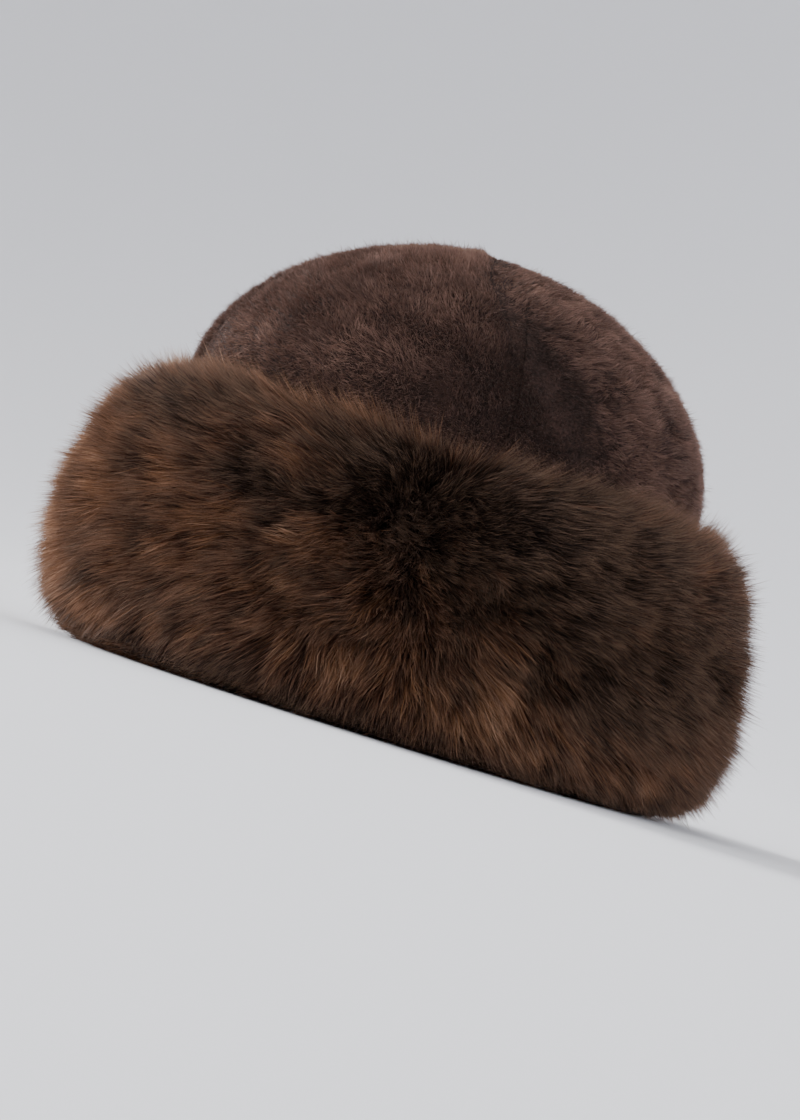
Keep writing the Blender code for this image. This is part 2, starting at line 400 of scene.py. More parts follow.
hair_group, given, result = new_group(
    "hair colour",
    (
        ("Dark", COLOUR, GREY),
        ("Middle", COLOUR, GREY),
        ("Warm", COLOUR, GREY),
        ("Pale", COLOUR, GREY),
        ("Root Shade", VALUE, 0.3),
        ("Tip Glow", VALUE, 0.3),
    ),
    (("Colour", COLOUR),),
)
hair_map = add(hair_group, "ShaderNodeUVMap", uv_map=MAP_NAME)
hair_place = add(hair_group, "ShaderNodeSeparateXYZ")
link = hair_group.links.new
link(hair_map.outputs["UV"], hair_place.inputs["Vector"])
tone = hair_place.outputs["X"]
root_to_tip = hair_place.outputs["Y"]
body = blend(hair_group, reach(hair_group, tone, 0.0, 0.42), given.outputs["Dark"],
             given.outputs["Middle"])
body = blend(hair_group, reach(hair_group, tone, 0.38, 0.72), body, given.outputs["Warm"])
body = blend(hair_group, reach(hair_group, tone, 0.70, 1.0), body, given.outputs["Pale"])
# Tips paler towards Pale: partly the hair's own pale tips, partly a painted glow of light through
# them.
tip_share = add(hair_group, "ShaderNodeMath", operation="MULTIPLY")
link(reach(hair_group, root_to_tip, 0.45, 1.0), tip_share.inputs[0])
link(given.outputs["Tip Glow"], tip_share.inputs[1])
body = blend(hair_group, tip_share.outputs[0], body, given.outputs["Pale"])
# Darker towards the root: partly the hair's own dark root, partly painted shade of the deep fur.
shade = add(hair_group, "ShaderNodeMapRange")
link(root_to_tip, shade.inputs["Value"])
link(given.outputs["Root Shade"], shade.inputs["To Min"])
shade.inputs["From Max"].default_value = 0.75
body = blend(hair_group, 1.0, body, shade.outputs["Result"], "MULTIPLY")
link(body, result.inputs["Colour"])
print("hair colour group:", len(hair_group.nodes), "nodes")


# %% Materials of both furs
def shader_of(material):
    """The Principled shader that a new material has."""
    return material.node_tree.nodes["Principled BSDF"]


def new_material(name, **values):
    """A material whose Principled shader has these socket values."""
    material = bpy.data.materials.new(name)
    material.use_nodes = True
    for title, value in values.items():
        shader_of(material).inputs[title.replace("_", " ")].default_value = value
    return material


def hair_material(name, colours, root_shade, tip_glow, **values):
    """A fur: the hair colour group with this fur's own colours."""
    material = new_material(name, **values)
    tree = material.node_tree
    group = add(tree, "ShaderNodeGroup", node_tree=hair_group)
    for title, colour in zip(("Dark", "Middle", "Warm", "Pale"), colours):
        group.inputs[title].default_value = rgb(*colour)
    group.inputs["Root Shade"].default_value = root_shade
    group.inputs["Tip Glow"].default_value = tip_glow
    tree.links.new(group.outputs["Colour"], shader_of(material).inputs["Base Color"])
    return material


long_fur = hair_material(
    "long_fur",
    ((24, 13, 9), (83, 54, 40), (126, 86, 57), (190, 152, 126)),
    0.26,
    0.30,
    Roughness=0.6,
    Specular_IOR_Level=0.12,
    Sheen_Weight=0.07,
    Sheen_Roughness=0.4,
    Sheen_Tint=rgb(200, 160, 138),
)
sheared_fur = hair_material(
    "sheared_fur",
    ((36, 25, 22), (102, 76, 67), (134, 103, 90), (174, 142, 127)),
    0.56,
    0.18,
    Roughness=0.7,
    Specular_IOR_Level=0.15,
    Sheen_Weight=0.2,
    Sheen_Roughness=0.4,
    Sheen_Tint=rgb(205, 175, 160),
)

# %% [markdown]
# ## Hide and underfur
# Under the hairs lies a soft mat: underfur on the outside, bare hide on the inside of
# the hat. It shows between the hairs as dark depth, so it needs a real surface with a
# nap, not a flat brown. Noise at two sizes gives the nap, as a second group that both
# the underfur and the hide take with their own colours and depth.

# %% The nap group
nap_group, given, result = new_group(
    "nap",
    (
        ("Low Colour", COLOUR, GREY),
        ("High Colour", COLOUR, GREY),
        ("Grain", VALUE, 900.0),
        ("Patch", VALUE, 60.0),
    ),
    (("Colour", COLOUR), ("Height", VALUE)),
)
spot = add(nap_group, "ShaderNodeTexCoord")
grain = add(nap_group, "ShaderNodeTexNoise", noise_dimensions="3D")
grain.inputs["Detail"].default_value = 3
patch = add(nap_group, "ShaderNodeTexNoise", noise_dimensions="3D")
patch.inputs["Detail"].default_value = 2
for noise, scale in ((grain, "Grain"), (patch, "Patch")):
    nap_group.links.new(spot.outputs["Object"], noise.inputs["Vector"])
    nap_group.links.new(given.outputs[scale], noise.inputs["Scale"])
mixed = add(nap_group, "ShaderNodeMath", operation="MULTIPLY_ADD")
nap_group.links.new(patch.outputs["Fac"], mixed.inputs[0])
mixed.inputs[1].default_value = 0.6
nap_group.links.new(grain.outputs["Fac"], mixed.inputs[2])
nap_colour = blend(nap_group, reach(nap_group, mixed.outputs[0], 0.55, 1.05),
                   given.outputs["Low Colour"], given.outputs["High Colour"])
nap_group.links.new(nap_colour, result.inputs["Colour"])
nap_group.links.new(grain.outputs["Fac"], result.inputs["Height"])


# %% Materials of the underfur and the hide
def nap_material(name, low, high, grain_scale, depth, **values):
    """A napped surface: the nap group with its own colours, grain and bump."""
    material = new_material(name, **values)
    tree = material.node_tree
    group = add(tree, "ShaderNodeGroup", node_tree=nap_group)
    group.inputs["Low Colour"].default_value = rgb(*low)
    group.inputs["High Colour"].default_value = rgb(*high)
    group.inputs["Grain"].default_value = grain_scale
    relief = add(tree, "ShaderNodeBump")
    relief.inputs["Distance"].default_value = depth
    tree.links.new(group.outputs["Height"], relief.inputs["Height"])
    tree.links.new(relief.outputs["Normal"], shader_of(material).inputs["Normal"])
    tree.links.new(group.outputs["Colour"], shader_of(material).inputs["Base Color"])
    return material


cuff_underfur = nap_material(
    "cuff_underfur", (14, 9, 8), (46, 30, 24), 700, 1.5 * MM, Roughness=0.9,
    Specular_IOR_Level=0.1,
)
crown_underfur = nap_material(
    "crown_underfur", (26, 19, 17), (58, 42, 37), 900, 1 * MM, Roughness=0.9,
    Specular_IOR_Level=0.1,
)
hide = nap_material(
    "hide", (112, 84, 66), (150, 118, 95), 1400, 0.4 * MM, Roughness=0.8,
    Specular_IOR_Level=0.2,
)

# %% [markdown]
# ## The crown's hide
# Each gore is a curved wedge of hide that ends in a point at the top of the dome. It is
# spun from the same squared-off dome as its solid, thinned by the length of the pile that
# will stand on it. The wall is a closed loop of rows, so that the gore is a solid skin
# with an inside to look into, and not a sheet.

# %% The dome and the gore's cross-section
PILE_LENGTH = 3.0 * MM
PILE_SHORTEST = 0.6 * MM
DOME_STEPS = 24
SKIRT_STEPS = 5
APEX_RADIUS = 0.3 * MM
GORE_ANGLE = TURN / len(GORES)

# Columns: share of the gore's width, share of SEAM_DEPTH that the pile lies low.
GORE_CROSS = np.array((
    (0.00, 1.00),
    (0.05, 0.62),
    (0.14, 0.30),
    (0.32, 0.15),
    (0.68, 0.10),
    (0.86, 0.05),
    (0.96, 0.10),
    (1.00, 0.55),
))


def crown_rows(inset, foot):
    """Rows of radius and height from a foot height up to the apex, set in by inset."""
    base = CROWN_RADIUS - inset
    rise = CROWN_TOP - CUFF_TOP - inset
    heights = np.linspace(foot, CUFF_TOP, SKIRT_STEPS, endpoint=False)
    share = (heights - CROWN_RIM) / (CUFF_TOP - CROWN_RIM)
    skirt = np.stack((base - CROWN_FLARE * (1 - share), heights), axis=1)
    angle = np.linspace(0, 1, DOME_STEPS, endpoint=False) * math.pi / 2
    radius = base * np.cos(angle) ** (2 / DOME_POWER)
    height = CUFF_TOP + rise * np.sin(angle) ** (2 / DOME_POWER)
    dome = np.stack((radius, height), axis=1)
    return np.vstack((skirt, dome, ((APEX_RADIUS, CUFF_TOP + rise),)))


def seam_low(across):
    """How far the pile lies low at each share across a gore."""
    return np.interp(across, GORE_CROSS[:, 0], GORE_CROSS[:, 1]) * SEAM_DEPTH


# %% Four gores of hide
GORE_COLUMNS = 22
PILE_FOOT = CUFF_TOP - 16 * MM
PILE_EASE = 10 * MM


def gore_start(index):
    """The turn of a gore's left seam."""
    return FRONT_SEAM + (index - 1) * GORE_ANGLE


def gore_shift(index):
    """A gore stands off its neighbours by half the clearance on each side."""
    middle = gore_start(index) + GORE_ANGLE / 2
    return spin(middle, FIT_GAP / 2 / math.sin(GORE_ANGLE / 2), 0)


def make_gore_hide(index, gore):
    """The closed wall of one gore: pile base outside, bare hide inside."""
    outside = crown_rows(0, CROWN_RIM)
    inside = crown_rows(CROWN_WALL, CROWN_RIM)
    bare = crown_rows(PILE_LENGTH, CROWN_RIM)
    cover = np.interp(outside[:, 1], (PILE_FOOT - PILE_EASE, PILE_FOOT), (0, 1))[:, None]
    base = outside * (1 - cover) + bare * cover
    loop = np.vstack((base, inside[::-1]))
    azimuth = gore_start(index) + np.linspace(0, 1, GORE_COLUMNS) * GORE_ANGLE
    points = spin(azimuth[None], loop[:, :1], loop[:, 1:]) + gore_shift(index)
    faces = grid_faces(len(loop), GORE_COLUMNS, True, False)[:, ::-1]
    rows = len(base)
    caps = []
    for column, order in ((0, 1), (GORE_COLUMNS - 1, -1)):
        row = np.arange(rows - 1)
        mirror = len(loop) - 1 - row
        quad = np.stack((row, row + 1, mirror - 1, mirror), axis=1) * GORE_COLUMNS + column
        caps.append(quad[:, ::order])
    faces = np.vstack([faces] + caps)
    item = object_from("gore_hide_" + gore, points.reshape(-1, 3), faces, crown_underfur)
    item.data.materials.append(hide)
    inner = np.zeros(len(faces), np.int32)
    first = (rows - 1) * (GORE_COLUMNS - 1)
    inner[first : len(loop) * (GORE_COLUMNS - 1)] = 1
    item.data.polygons.foreach_set("material_index", inner)
    return dress(item, "crown_gore_" + gore)


gore_hides = [make_gore_hide(index, gore) for index, gore in enumerate(GORES)]
print("gore hides:", [item.name for item in gore_hides])

# %% [markdown]
# ## The cuff's underfur
# The cuff is a ring with a D-shaped section: flat against the crown, full and round
# outside. Its underfur fills about half of the depth, and the long hairs grow from there.
# The outline of the hair tips and the outline of the underfur are two tables with the
# same number of rows, so that a share of one matches the same share of the other.

# %% Outlines of the cuff
# Columns: share of the cuff's height, share of its reach, at the tips of the fur.
TIP_ROWS = (
    (1.00, 0.06),
    (0.965, 0.27),
    (0.88, 0.57),
    (0.70, 0.84),
    (0.50, 0.99),
    (0.36, 1.00),
    (0.23, 0.97),
    (0.11, 0.86),
    (0.035, 0.68),
    (0.00, 0.48),
)

# Columns: the same, at the roots of the long hairs.
ROOT_ROWS = (
    (0.80, 0.04),
    (0.82, 0.17),
    (0.78, 0.31),
    (0.66, 0.42),
    (0.52, 0.48),
    (0.38, 0.49),
    (0.26, 0.47),
    (0.14, 0.43),
    (0.05, 0.43),
    (0.012, 0.36),
)

# Hollows brushed into the fur. Columns: degrees round from the front to the right, share
# of the cuff's height, width in shares of its height, depth in shares of its reach.
HOLLOWS = (
    (-30, 0.655, 0.095, 0.22),
    (12, 0.70, 0.16, 0.10),
    (64, 0.52, 0.12, 0.08),
    (152, 0.60, 0.13, 0.12),
    (-118, 0.55, 0.13, 0.11),
)


# %% Points on the cuff
def cuff_outline(rows):
    """An outline of the cuff in metres, from shares of its height and reach."""
    base = CROWN_RADIUS + FIT_GAP
    return Outline([(base + reach_share * CUFF_REACH, up * CUFF_TOP) for up, reach_share in rows])


tip_outline = cuff_outline(TIP_ROWS)
root_outline = cuff_outline(ROOT_ROWS)


def cuff_point(outline, azimuth, share, lift=0.0):
    """A point of a cuff outline, with the cuff's lean and sag, lifted out by lift."""
    radius, height = outline.at(share)
    out_radius, out_height = outline.out(share)
    rightness = np.sin(azimuth)
    height = CUFF_TOP * (np.maximum(height, 0) / CUFF_TOP) ** (1 + CUFF_SAG * rightness)
    radius = radius + CUFF_LEAN * rightness + out_radius * lift
    return spin(azimuth, radius, height + out_height * lift)


def hollow_depth(azimuth, height):
    """How deep the brushed hollows take the fur in."""
    depth = 0
    for degrees, up_share, width, deep in HOLLOWS:
        across = turn_between(azimuth, degrees) * CROWN_RADIUS / (width * CUFF_TOP)
        away = (height / CUFF_TOP - up_share) / width
        depth = depth + deep * CUFF_REACH * np.exp(-(across**2) - away**2)
    return depth


print("hair tips' outline", round(tip_outline.length / MM), "mm long")


# %% The ring of underfur
RING_COLUMNS = 200
RING_ROWS = 36
BACK_ROWS = 8
LUMP = 1.2 * MM
LUMP_SIZE = 9 * MM

# Mouth of the cuff, from the underfur's foot in to the crown's rim. Columns: share of
# the way from the head out to the foot, share of the rim's height.
MOUTH_ROWS = ((0.72, 0.05), (0.46, 0.06), (0.30, 0.16), (0.16, 0.40), (0.12, 0.95))


def make_cuff_ring():
    """Closed ring: down the underfur, under the mouth, up the side of the crown."""
    azimuth = np.linspace(0, TURN, RING_COLUMNS, endpoint=False)
    rings = []
    for share in np.linspace(0, 1, RING_ROWS):
        rings.append(cuff_point(root_outline, azimuth, share))
    foot = root_outline.points[-1][0] - HEAD_RADIUS
    for way, lift in MOUTH_ROWS:
        rings.append(spin(azimuth, HEAD_RADIUS + way * foot, lift * CROWN_RIM))
    for height in np.linspace(CROWN_RIM - FIT_GAP, root_outline.points[0][1], BACK_ROWS):
        share = max(height - CROWN_RIM, 0) / (CUFF_TOP - CROWN_RIM)
        rings.append(spin(azimuth, CROWN_RADIUS - CROWN_FLARE * (1 - share) + FIT_GAP, height))
    points = np.array(rings)
    skin = points[: RING_ROWS + 1].reshape(-1, 3)
    lumps = drift(skin, LUMP_SIZE, 31) * LUMP
    outward = unit(skin * (1, 1, 0))
    points[: RING_ROWS + 1] = (skin + outward * lumps[:, None]).reshape(RING_ROWS + 1, -1, 3)
    faces = grid_faces(len(points), RING_COLUMNS, True, True)[:, ::-1]
    item = object_from("cuff_underfur", points.reshape(-1, 3), faces, cuff_underfur)
    return dress(item, "fur_cuff")


cuff_ring = make_cuff_ring()
print("cuff ring box mm", [round(value / MM) for value in cuff_ring.dimensions])

# %% [markdown]
# ## Locks
# Fur never lies hair by hair: it gathers in locks whose tips meet. Space is cut into
# cubes with one lock centre in each, at a random place, and every hair finds the centre
# nearest to its tip. Drawing the tip a part of the way there makes a lock. Because the
# centres lie a little above or below the surface, some locks stand out and others sink,
# as in real fur. The same function serves big tufts and fine locks, on cuff and crown.


# %% Nearest lock centre in space
TABLE_SIZE = 4096
HASH_FACTORS = np.array((73856093, 19349663, 83492791))
CELL_MARGIN = 0.08


def find_locks(points, size, seed):
    """For each point: its lock's number in a table, and the way to the lock's centre."""
    chance = np.random.default_rng(seed)
    jitter = chance.uniform(CELL_MARGIN, 1 - CELL_MARGIN, size=(TABLE_SIZE, 3))
    cells = np.floor(points / size).astype(np.int64)
    best = np.full(len(points), np.inf)
    number = np.zeros(len(points), np.int64)
    way = np.zeros_like(points)
    for step in np.ndindex(3, 3, 3):
        cell = cells + np.array(step) - 1
        mixed = cell * HASH_FACTORS
        key = (mixed[:, 0] ^ mixed[:, 1] ^ mixed[:, 2]) % TABLE_SIZE
        offset = (cell + jitter[key]) * size - points
        away = np.einsum("ij,ij->i", offset, offset)
        nearer = away < best
        best = np.where(nearer, away, best)
        number = np.where(nearer, key, number)
        way = np.where(nearer[:, None], offset, way)
    return number, way


def lock_traits(number, columns, seed):
    """Random traits of each hair's lock, the same for all hairs of the lock."""
    return np.random.default_rng(seed).normal(size=(TABLE_SIZE, columns))[number]


# %% [markdown]
# ## The long fur
# Each hair is a tip on the outer outline and a root on the underfur, a little higher up:
# that lean makes the fur hang. Above the parting the lean fades out, so the top hairs
# stand up over the foot of the crown, and they also sweep aside from the front centre
# towards the back. The fur is made as a hairdresser would: comb it, gather it in locks,
# then bend each hair and colour it. Many values fade in or out over the cuff. Each such
# ramp is one np.interp: the places where it starts and ends, and its value at both.

# %% Combing the long fur
# How far a tip hangs below its root and where that sets in, in shares of the way down.
LEAN_DOWN = 0.115
LEAN_WAY = (-0.08, 0.26)

# The sweep to both sides, at the lip and further down, and how it turns at the front.
SWEEP_TOP = 28 * MM
SWEEP_SIDE = 8 * MM
SWEEP_WAY = (0, 0.40)
SWEEP_CENTRE = math.radians(2)
SWEEP_EASE = 0.25
SWEEP_BACK = 0.25
WAVE = 3.4 * MM
WAVE_SIZE = 22 * MM


def comb(azimuth, share):
    """Turn and share of the tips, swept aside from the front centre and a little wavy."""
    around = azimuth - SWEEP_CENTRE
    side = np.sin(around) / np.sqrt(np.sin(around) ** 2 + SWEEP_EASE**2)
    side *= SWEEP_BACK + (1 - SWEEP_BACK) * (1 + np.cos(around)) / 2
    place = cuff_point(tip_outline, azimuth, share)
    sweep = np.interp(share, SWEEP_WAY, (SWEEP_TOP, SWEEP_SIDE)) * side
    sweep += WAVE * drift(place, WAVE_SIZE, 22)
    tip_share = share + WAVE / 2 / tip_outline.length * drift(place, WAVE_SIZE, 23)
    return azimuth + sweep / CROWN_RADIUS, np.clip(tip_share, 0, 1)


def roots_of(azimuth, share):
    """Roots on the underfur for tips at these shares, and the way out of it there."""
    root_share = np.clip(share - np.interp(share, LEAN_WAY, (0, LEAN_DOWN)), 0, 1)
    root = cuff_point(root_outline, azimuth, root_share)
    return root, unit(cuff_point(root_outline, azimuth, root_share, MM) - root)


side_turn, _ = comb(np.array((TURN / 4,)), np.array((0.0,)))
print("tips at the right side's lip lie", round(math.degrees(side_turn[0]) - 90, 1), "degrees back")

# %% [markdown]
# ## Length of each hair
# The outline of fur is soft because no two hairs end at the same height. Most hairs end a
# little under the outline, a quarter is short, and a few long guard hairs stand over it.
# The fuzz is finer, looser at the lip, and makes the halo that the light catches.

# %% Lifts off the outline
SHORT_SHARE = 0.25
GUARD_SHARE = 0.08
UNEVEN = 2.2 * MM
SHORTER = (2 * MM, 7 * MM)
LONGER = (1.5 * MM, 4 * MM)
FUZZ_SUNK = 1.5 * MM
FUZZ_MOST = 2.2
FUZZ_WAY = (0, 0.12)
FUZZ_LOOSE = (4.0 * MM, 2.4 * MM)


def hair_lifts(share, chance, fuzz):
    """How far each tip is off the outline, and which hairs are short or guard hairs."""
    count = len(share)
    if fuzz:
        loose = np.interp(share, FUZZ_WAY, FUZZ_LOOSE)
        lift = np.minimum(chance.exponential(1, count), FUZZ_MOST) * loose - FUZZ_SUNK
        return lift, np.zeros(count, bool), np.zeros(count, bool)
    lift = -chance.exponential(UNEVEN, count)
    kind = chance.random(count)
    guard = kind > 1 - GUARD_SHARE
    lift += guard * chance.uniform(*LONGER, count)
    short = kind < SHORT_SHARE
    lift -= short * chance.uniform(*SHORTER, count)
    return lift, short, guard


# %% [markdown]
# ## Locks, tufts and gaps in the long fur
# Fine locks sit in broad tufts, and each of both lies higher or lower than the next. Here
# and there the fur falls open, and that dark depth says more than any single hair. Guard
# hairs and fuzz are drawn in less, so they lie across the locks as they do on real fur.

# %% Gathering the tips
# Size, blur of the borders, seed of the places, seed of the traits.
LOCK = (5.5 * MM, 0.5 * MM, 11, 13)
TUFT = (15 * MM, 2 * MM, 12, 14)

# How far tips are drawn to the centre of a lock, and of a tuft on the way down the cuff.
LOCK_PULL = 0.50
PULL_SPREAD = (0.5, 1.2)
FINE_PULL = 0.4
TUFT_WAY = (0.50, 0.90, 0.92, 1.02)
TUFT_PULL = (0.20, 0.28, 0.28, 0)

# Heights: of locks and tufts, of a slow swell, and of the gaps, which are weaker at the lip.
LOCK_LIFT = 0.8 * MM
SWELL = 1.3 * MM
SWELL_SIZE = 26 * MM
GAP_SIZE = 12 * MM
GAP_LEVEL = 0.85
GAP_WAY = (0.2375, 0.50)
GAP_STRENGTH = (0.25, 1)
GAP_DEPTH = 7 * MM

# Long hairs stand off less at the lip, and stray hairs are scattered.
LIP_WAY = (0.04, 0.10)
LIP_LIFT = (0.4, 1)
GUARD_SCATTER = 2.2 * MM
FUZZ_SCATTER = (3.3 * MM, 1.3 * MM)
TAME = 1.8


def locks_at(place, size, blur, place_seed, trait_seed, chance):
    """The way from each tip to its lock's centre, and the lock's three traits."""
    number, way = find_locks(place + chance.normal(size=place.shape) * blur, size, place_seed)
    return way, lock_traits(number, 3, trait_seed).T


def gap_at(point, share):
    """Where the fur falls open, from 0 to 1, and less near the lip."""
    gap = np.clip(drift(point, GAP_SIZE, 26) - GAP_LEVEL, 0, 1)
    return gap * np.interp(share, GAP_WAY, GAP_STRENGTH)


def gather(tip, share, ways, fine, scatter, chance):
    """Tips drawn to the centres of their locks and tufts, and then scattered a little."""
    lock_way, tuft_way = ways
    pull = LOCK_PULL * np.where(fine, FINE_PULL, 1) * chance.uniform(*PULL_SPREAD, len(tip))
    tuft_pull = np.interp(share, TUFT_WAY, TUFT_PULL)
    stray = np.clip(chance.normal(size=tip.shape), -TAME, TAME)
    return tip + lock_way * pull[:, None] + tuft_way * tuft_pull[:, None] + stray * scatter[:, None]


# %% [markdown]
# ## Bending a hair
# The middle joint is pushed outwards, so a hair bends over like a real one, and neighbours
# curl together. A hair that would go through the floor is lifted over it. Each tuft gets
# a height of its own there, or the fur would end in a line as if it was cut.

# %% Joints of a hair
FUZZ_START = 0.45
BEND_PLACE = 0.55
BEND_OUT = 0.08
BEND_SCATTER = 0.4 * MM
CURL = 1.6 * MM
CURL_SIZE = 10 * MM
FLOOR_CLEARANCE = 0.3 * MM
FLOOR_SPREAD = 0.15


def bend(root, outward, tip, azimuth, place, chance):
    """Root, middle and tip of each hair, its middle pushed outwards and curled."""
    length = np.linalg.norm(tip - root, axis=1)[:, None]
    middle = root * (1 - BEND_PLACE) + tip * BEND_PLACE + outward * length * BEND_OUT
    middle += rightward_at(azimuth) * (CURL * drift(place, CURL_SIZE, 24))[:, None]
    middle[:, 2] += CURL * drift(place, CURL_SIZE, 25)
    middle += chance.normal(size=tip.shape) * BEND_SCATTER
    return np.stack((root, middle, tip), axis=1)


def lay_on_floor(joints, clearance):
    """Lift hairs that would reach under the floor and bend them a little outwards."""
    floor = FLOOR_CLEARANCE + clearance
    under = np.maximum(floor[:, None] - joints[:, :, 2], 0)
    level = joints[:, :, :2]
    outward = level / np.linalg.norm(level, axis=2, keepdims=True)
    joints[:, :, :2] = level + outward * under[:, :, None] * FLOOR_SPREAD
    joints[:, :, 2] += under
    return joints


# %% [markdown]
# ## Tone of the long fur
# Real fur has paler and darker places that the dye or the animal gave it. A list of soft
# spots sets them together with painted light and shade, and slow random noise joins them
# up. Each lock and each hair then has a tone of its own, the gaps and the foot get painted
# shade, and the loose hairs at the lip a painted glow.

# %% Tones of the cuff
# Columns: degrees round, share of the way down, half widths in radians and in shares,
# added tone.
# Painted light and shade in this table: the dark front centre (3 degrees), the shade of the hollow
# (-30), the paler left side under the rim light (-92) and the darker right side (38, 75). The other
# rows are partly the fur's own tone and partly painted light and shade.
CUFF_TONE_AND_PAINTED_LIGHT = (
    (3, 0.27, 0.30, 0.14, -0.66),
    (8, 0.38, 0.50, 0.16, -0.12),
    (-30, 0.40, 0.12, 0.055, -1.00),
    (-92, 0.55, 0.40, 0.35, 0.32),
    (-35, 0.82, 0.50, 0.16, -0.26),
    (8, 0.86, 0.90, 0.12, 0.08),
    (-42, 0.18, 0.60, 0.14, -0.46),
    (-19, 0.52, 0.25, 0.12, 0.16),
    (-62, 0.45, 0.25, 0.35, -0.15),
    (32, 0.06, 0.60, 0.12, -0.48),
    (38, 0.40, 0.55, 0.28, -0.72),
    (75, 0.55, 0.50, 0.36, -0.36),
    (180, 0.45, 0.60, 0.20, -0.06),
)
CUFF_TONE = 0.43

# Columns: strength, size and seed of the slow random changes.
CUFF_NOISES = ((0.10, 30 * MM, 51), (0.08, 11 * MM, 52))
LOCK_TONE = 0.12
TUFT_TONE = 0.08
HAIR_TONE = 0.09
SHORT_TONE = -0.14
GUARD_TONE = 0.15
FUZZ_TONE = 0.10
# Painted shade darkens hairs in the gaps and hairs near the floor, and a painted glow lightens the
# fine hairs at the lip.
GAP_SHADE = 0.40
LIP_GLOW = 0.15
LIP_GLOW_END = 0.08
FOOT_SHADE = 0.45
FOOT_SHADE_TOP = 7 * MM


def cuff_tones(turn, share, place, tip_height, gap, shades, fine):
    """Tone of each hair: its place with spots of painted light and shade, its own shades, painted
    shade in gaps and at the foot, painted glow at the lip.
    """
    tones = spotted(turn, share, place, CUFF_TONE, CUFF_NOISES, CUFF_TONE_AND_PAINTED_LIGHT) + shades
    tones += fine * np.interp(share, (0, LIP_GLOW_END), (LIP_GLOW, 0)) - GAP_SHADE * gap
    tones -= np.interp(tip_height, (0, FOOT_SHADE_TOP), (FOOT_SHADE, 0))
    return np.clip(tones, 0, 1)


# %% Hairs of the cuff
HAIRS_PER_QUARTER = 50000
FUZZ_PER_QUARTER = 30000
HAIR_WIDTH = 0.32 * MM
FUZZ_WIDTH = 0.20 * MM
WIDTH_SPREAD = (0.7, 1.3)
BENT_TAPER = np.array((1, 0.8, 0))
STRAIGHT_TAPER = np.array((1, 0))

# Height of the tips over the floor where the fur stands on it: of all hairs, and added by
# tuft, by lock and by hair.
FLOOR_ALL = 0.4 * MM
FLOOR_TUFT = 1.6 * MM
FLOOR_LOCK = 0.9 * MM
FLOOR_HAIR = 0.8 * MM


def cuff_hairs(azimuth, chance, fuzz):
    """Joints, widths and tones of hairs that grow at these turns round the cuff."""
    count = len(azimuth)
    share = tip_outline.shares_by_area(chance, count)
    root, outward = roots_of(azimuth, share)
    tip_turn, share = comb(azimuth, share)
    place = cuff_point(tip_outline, tip_turn, share)

    lock_way, (lock_lift, lock_tone, lock_floor) = locks_at(place, *LOCK, chance)
    tuft_way, (tuft_lift, tuft_tone, tuft_floor) = locks_at(place, *TUFT, chance)
    gap = gap_at(place, share)
    lift, short, guard = hair_lifts(share, chance, fuzz)
    lift += SWELL * drift(place, SWELL_SIZE, 21) - hollow_depth(tip_turn, place[:, 2])
    lift += LOCK_LIFT * (lock_lift + tuft_lift) - GAP_DEPTH * gap
    fine = guard | fuzz
    lift = np.where(fine & (lift > 0), lift * np.interp(share, LIP_WAY, LIP_LIFT), lift)
    scatter = np.interp(share, FUZZ_WAY, FUZZ_SCATTER) if fuzz else np.where(guard, GUARD_SCATTER, MM)
    tip = cuff_point(tip_outline, tip_turn, share, lift)
    tip = gather(tip, share, (lock_way, tuft_way), fine, scatter, chance)

    if fuzz:
        joints = np.stack((root + (tip - root) * FUZZ_START, tip), axis=1)
    else:
        joints = bend(root, outward, tip, azimuth, place, chance)
    clearance = FLOOR_ALL + FLOOR_TUFT * tuft_floor + FLOOR_LOCK * lock_floor
    clearance += chance.exponential(FLOOR_HAIR, count)
    joints = lay_on_floor(joints, np.where(guard, 0, np.maximum(clearance, 0)))
    width, taper = (FUZZ_WIDTH, STRAIGHT_TAPER) if fuzz else (HAIR_WIDTH, BENT_TAPER)
    widths = width * chance.uniform(*WIDTH_SPREAD, count)[:, None] * taper

    shades = LOCK_TONE * lock_tone + TUFT_TONE * tuft_tone + HAIR_TONE * chance.normal(size=count)
    shades += SHORT_TONE * short + GUARD_TONE * guard + FUZZ_TONE * fuzz
    tones = cuff_tones(tip_turn, share, place, joints[:, -1, 2], gap, shades, fine)
    return joints, widths, tones


def dress_quarter(quarter, kind, amount):
    """A quarter of the long fur: its bent hairs, or the fine straight fuzz between them."""
    fuzz = kind == "fuzz"
    chance = np.random.default_rng(100 + 10 * fuzz + quarter)
    azimuth = gore_start(quarter) + chance.random(amount) * GORE_ANGLE
    joints, widths, tones = cuff_hairs(azimuth, chance, fuzz)
    name = "cuff_" + kind + "_" + GORES[quarter]
    dress(ribbon_mesh(name, joints, widths, tones, chance, long_fur), "fur_cuff")


for quarter in range(len(GORES)):
    dress_quarter(quarter, "hair", HAIRS_PER_QUARTER)
    dress_quarter(quarter, "fuzz", FUZZ_PER_QUARTER)
print("cuff hairs:", (HAIRS_PER_QUARTER + FUZZ_PER_QUARTER) * len(GORES))

# %% [markdown]
# ## Fur at the mouth
# The band turns under the rim, so its hairs also stand down and inwards round the head.
# They are short, soft and pressed flat where the hat rests. The outermost ones close the
# wedge between the long fur's foot and the floor.

